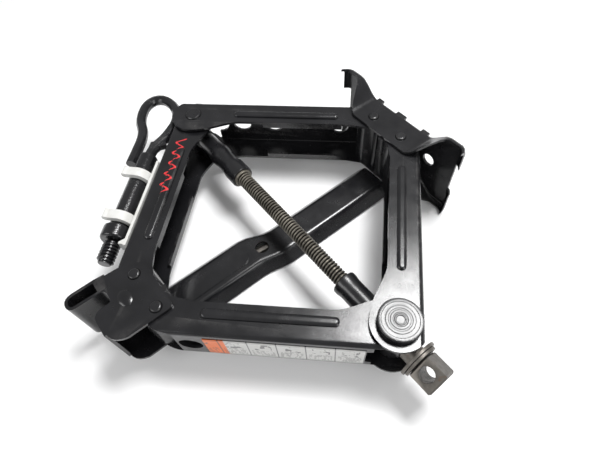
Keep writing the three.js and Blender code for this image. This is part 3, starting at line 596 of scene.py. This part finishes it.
nylon = Finish("white_nylon")
nylon.colour(nylon.blend(nylon.spread(nylon.cloud(0.009, 5, 0.6), 0.45, 0.8), NYLON_WHITE, NYLON_SHADE))
nylon.roughness(nylon.spread(nylon.cloud(0.003, 3), 0.3, 0.7, 0.38, 0.55))
nylon.relief(nylon.cloud(0.0008, 2), 0.00004)
nylon.shader.inputs["Subsurface Weight"].default_value = 0.15
nylon.shader.inputs["Subsurface Radius"].default_value = (NYLON_GLOW, NYLON_GLOW, NYLON_GLOW)
dressed("towing_eye_holder", HOLDER_CORNER, nylon.material, steps=3, smooth=50)


# ---- Instruction label ----------------------------------------------------------------------
# A printed foil sticker on the back of the drive-side saddle arm: an orange block, then a row of
# framed picture panels with rows of print. The print is only grey bars and blots here.

LABEL_PAPER = (0.56, 0.56, 0.545, 1)
LABEL_ORANGE = (0.72, 0.16, 0.035, 1)
LABEL_INK = (0.045, 0.045, 0.05, 1)
LABEL_SCUFF = (0.30, 0.29, 0.28, 1)
ORANGE_LENGTH = 0.016
PANEL_LENGTH = 0.0218
ROW_HEIGHT = 0.0024
FRAME_INSET = 0.0016
FRAME_HALF_WIDTH = 0.0003
PRINT_BAND = (-0.0072, 0.0056)
PICTURE_BAND = (0.0058, 0.0062)

drive_hinge = next(joint for joint in frame["joints"] if joint["name"] == "drive_elbow")
drive_pivot = Vector(drive_hinge["pos_m"])
label_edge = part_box("instruction_label")[1].z
along_drive_arm = Vector((-abs(along_nut_arm.x), -abs(along_nut_arm.y), 0))
drive_arm_turn = math.atan2(along_drive_arm.y, along_drive_arm.x)
label_mesh = frame["nodes"]["instruction_label"].data
label_ends = [along_drive_arm.dot(vert.co - drive_pivot) for vert in label_mesh.vertices]
orange_start = max(label_ends) - ORANGE_LENGTH

printed = Finish("printed_label")
label_place = arm_place(printed, drive_pivot, drive_arm_turn)
lengthwise = label_place["X"]
upward = label_place["Z"]
from_end = printed.sum("SUBTRACT", lengthwise, min(label_ends))
panel = printed.sum("FRACT", printed.sum("DIVIDE", from_end, PANEL_LENGTH), 0.0)
frame_side = printed.sum("COMPARE", panel, 0.02, 0.022)
from_middle = printed.sum("ABSOLUTE", upward, 0.0)
frame_edge = printed.sum("COMPARE", from_middle, label_edge - FRAME_INSET, FRAME_HALF_WIDTH)
row = printed.sum("FRACT", printed.sum("DIVIDE", printed.sum("ADD", upward, 0.5), ROW_HEIGHT), 0.0)
in_row = printed.sum("COMPARE", row, 0.5, 0.24)
words = printed.sum("GREATER_THAN", printed.cloud(0.0016, 2, 0.5, printed.mapped((1, 1, 0.25))), 0.49)
lower_part = printed.sum("COMPARE", upward, *PRINT_BAND)
text_share = printed.sum("COMPARE", panel, 0.52, 0.40)
print_area = printed.sum("MULTIPLY", lower_part, text_share)
bars = printed.sum("MULTIPLY", printed.sum("MULTIPLY", in_row, words), print_area)
blot = printed.sum("GREATER_THAN", printed.cloud(0.0058, 2, 0.6), 0.56)
upper_part = printed.sum("COMPARE", upward, *PICTURE_BAND)
picture_share = printed.sum("COMPARE", panel, 0.5, 0.30)
picture = printed.sum("MULTIPLY", blot, printed.sum("MULTIPLY", upper_part, picture_share))
panel_frame = printed.sum("MAXIMUM", frame_side, frame_edge)
ink_marks = printed.sum("MAXIMUM", panel_frame, printed.sum("MAXIMUM", bars, picture))
on_orange = printed.sum("GREATER_THAN", lengthwise, orange_start)
base = printed.blend(on_orange, LABEL_PAPER, LABEL_ORANGE)
faded = printed.spread(printed.cloud(0.020, 4), 0.35, 0.75, 0.70, 0.95)
scuffed = printed.spread(printed.cloud(0.0035, 6, 0.7), 0.64, 0.72, 0.0, 0.6)
inked = printed.blend(printed.sum("MULTIPLY", ink_marks, faded), base, LABEL_INK)
printed.colour(printed.blend(scuffed, inked, LABEL_SCUFF))
printed.roughness(printed.spread(printed.cloud(0.006, 4), 0.3, 0.7, 0.28, 0.50))
printed.relief(printed.cloud(0.004, 2), 0.00006)
dressed("instruction_label", 0.0, printed.material)


# ---- Wheel wrench ---------------------------------------------------------------------------
# The wheel wrench lies under the linkage: a folded sheet handle with a swivelling hooked rod in it,
# held by a pin through its tail. The rod's hook drives the screw's head.

HANDLE_CORNER = 0.0005
ROD_CORNER = 0.0004
dressed("wrench_handle", HANDLE_CORNER, gloss_black)
dressed("wrench_rod", ROD_CORNER, phosphate.material, smooth=60, flat=0.2)
dressed("wrench_pin", ROD_CORNER, phosphate.material, smooth=60)


# ---- Floor, lights and camera ---------------------------------------------------------------
# The jack lies on its side on a plain white sheet, under one soft panel above it. Two weaker panels, one
# by the driving head and one by the saddle, draw the ribs and pin heads. The camera looks down on it.

FLOOR_WHITE = (0.93, 0.93, 0.93, 1)
FLOOR_SHADE = (0.90, 0.90, 0.905, 1)
SHEET_SIZE = 6
SHEET_ROUGHNESS = 0.75
UNDER_THE_JACK = 0.0002
MIDDLE_OF_JACK = (0.0, -0.16, 0.0)
ROOM_STRENGTH = 0.36
LENS = 25.92
SENSOR = 36
NEAREST = 0.01
EYE_PLACE = Vector((0.194390, -0.263942, 0.323338))
LOOK = Vector((-0.45536943, 0.31015604, -0.83453095))
RIGHT = Vector((0.62488742, 0.77901764, -0.05145118))

lowest = cad_bounds[0][2]
bpy.ops.object.select_all(action="DESELECT")
bpy.ops.mesh.primitive_plane_add(size=SHEET_SIZE, location=(0, 0, lowest - UNDER_THE_JACK))
floor = bpy.context.object
floor.name = "white_sheet"
bpy.ops.object.transform_apply(location=True, rotation=True, scale=True)
sheet = Finish("white_sheet")
sheet.colour(sheet.blend(sheet.cloud(0.3, 2), FLOOR_WHITE, FLOOR_SHADE))
sheet.shader.inputs["Roughness"].default_value = SHEET_ROUGHNESS
floor.data.materials.append(sheet.material)


def soft_light(name, place, size, power):
    light = bpy.data.lights.new(name, "AREA")
    light.shape = "RECTANGLE"
    light.size = size[0]
    light.size_y = size[1]
    light.energy = power
    lamp = bpy.data.objects.new(name, light)
    bpy.context.scene.collection.objects.link(lamp)
    lamp.location = place
    lamp.rotation_euler = (Vector(MIDDLE_OF_JACK) - Vector(place)).to_track_quat("-Z", "Y").to_euler()


soft_light("sky_panel", (0.02, 0.30, 1.20), (0.44, 0.38), 18)
soft_light("side_panel", (1.3, 0.1, 0.8), (0.5, 0.9), 6)
soft_light("front_panel", (-0.2, -1.4, 0.9), (0.9, 0.5), 6)

world = bpy.data.worlds.new("white_room")
world.use_nodes = True
world.node_tree.nodes["Background"].inputs["Color"].default_value = (1, 1, 1, 1)
world.node_tree.nodes["Background"].inputs["Strength"].default_value = ROOM_STRENGTH
bpy.context.scene.world = world
bpy.context.scene.view_settings.view_transform = "Standard"

camera_data = bpy.data.cameras.new("camera")
camera_data.lens = LENS
camera_data.sensor_width = SENSOR
camera_data.clip_start = NEAREST
camera = bpy.data.objects.new("camera", camera_data)
bpy.context.scene.collection.objects.link(camera)
above = RIGHT.cross(LOOK)
turned_axes = Matrix((RIGHT, above, -LOOK)).transposed().to_4x4()
camera.matrix_world = Matrix.Translation(EYE_PLACE) @ turned_axes
bpy.context.scene.camera = camera
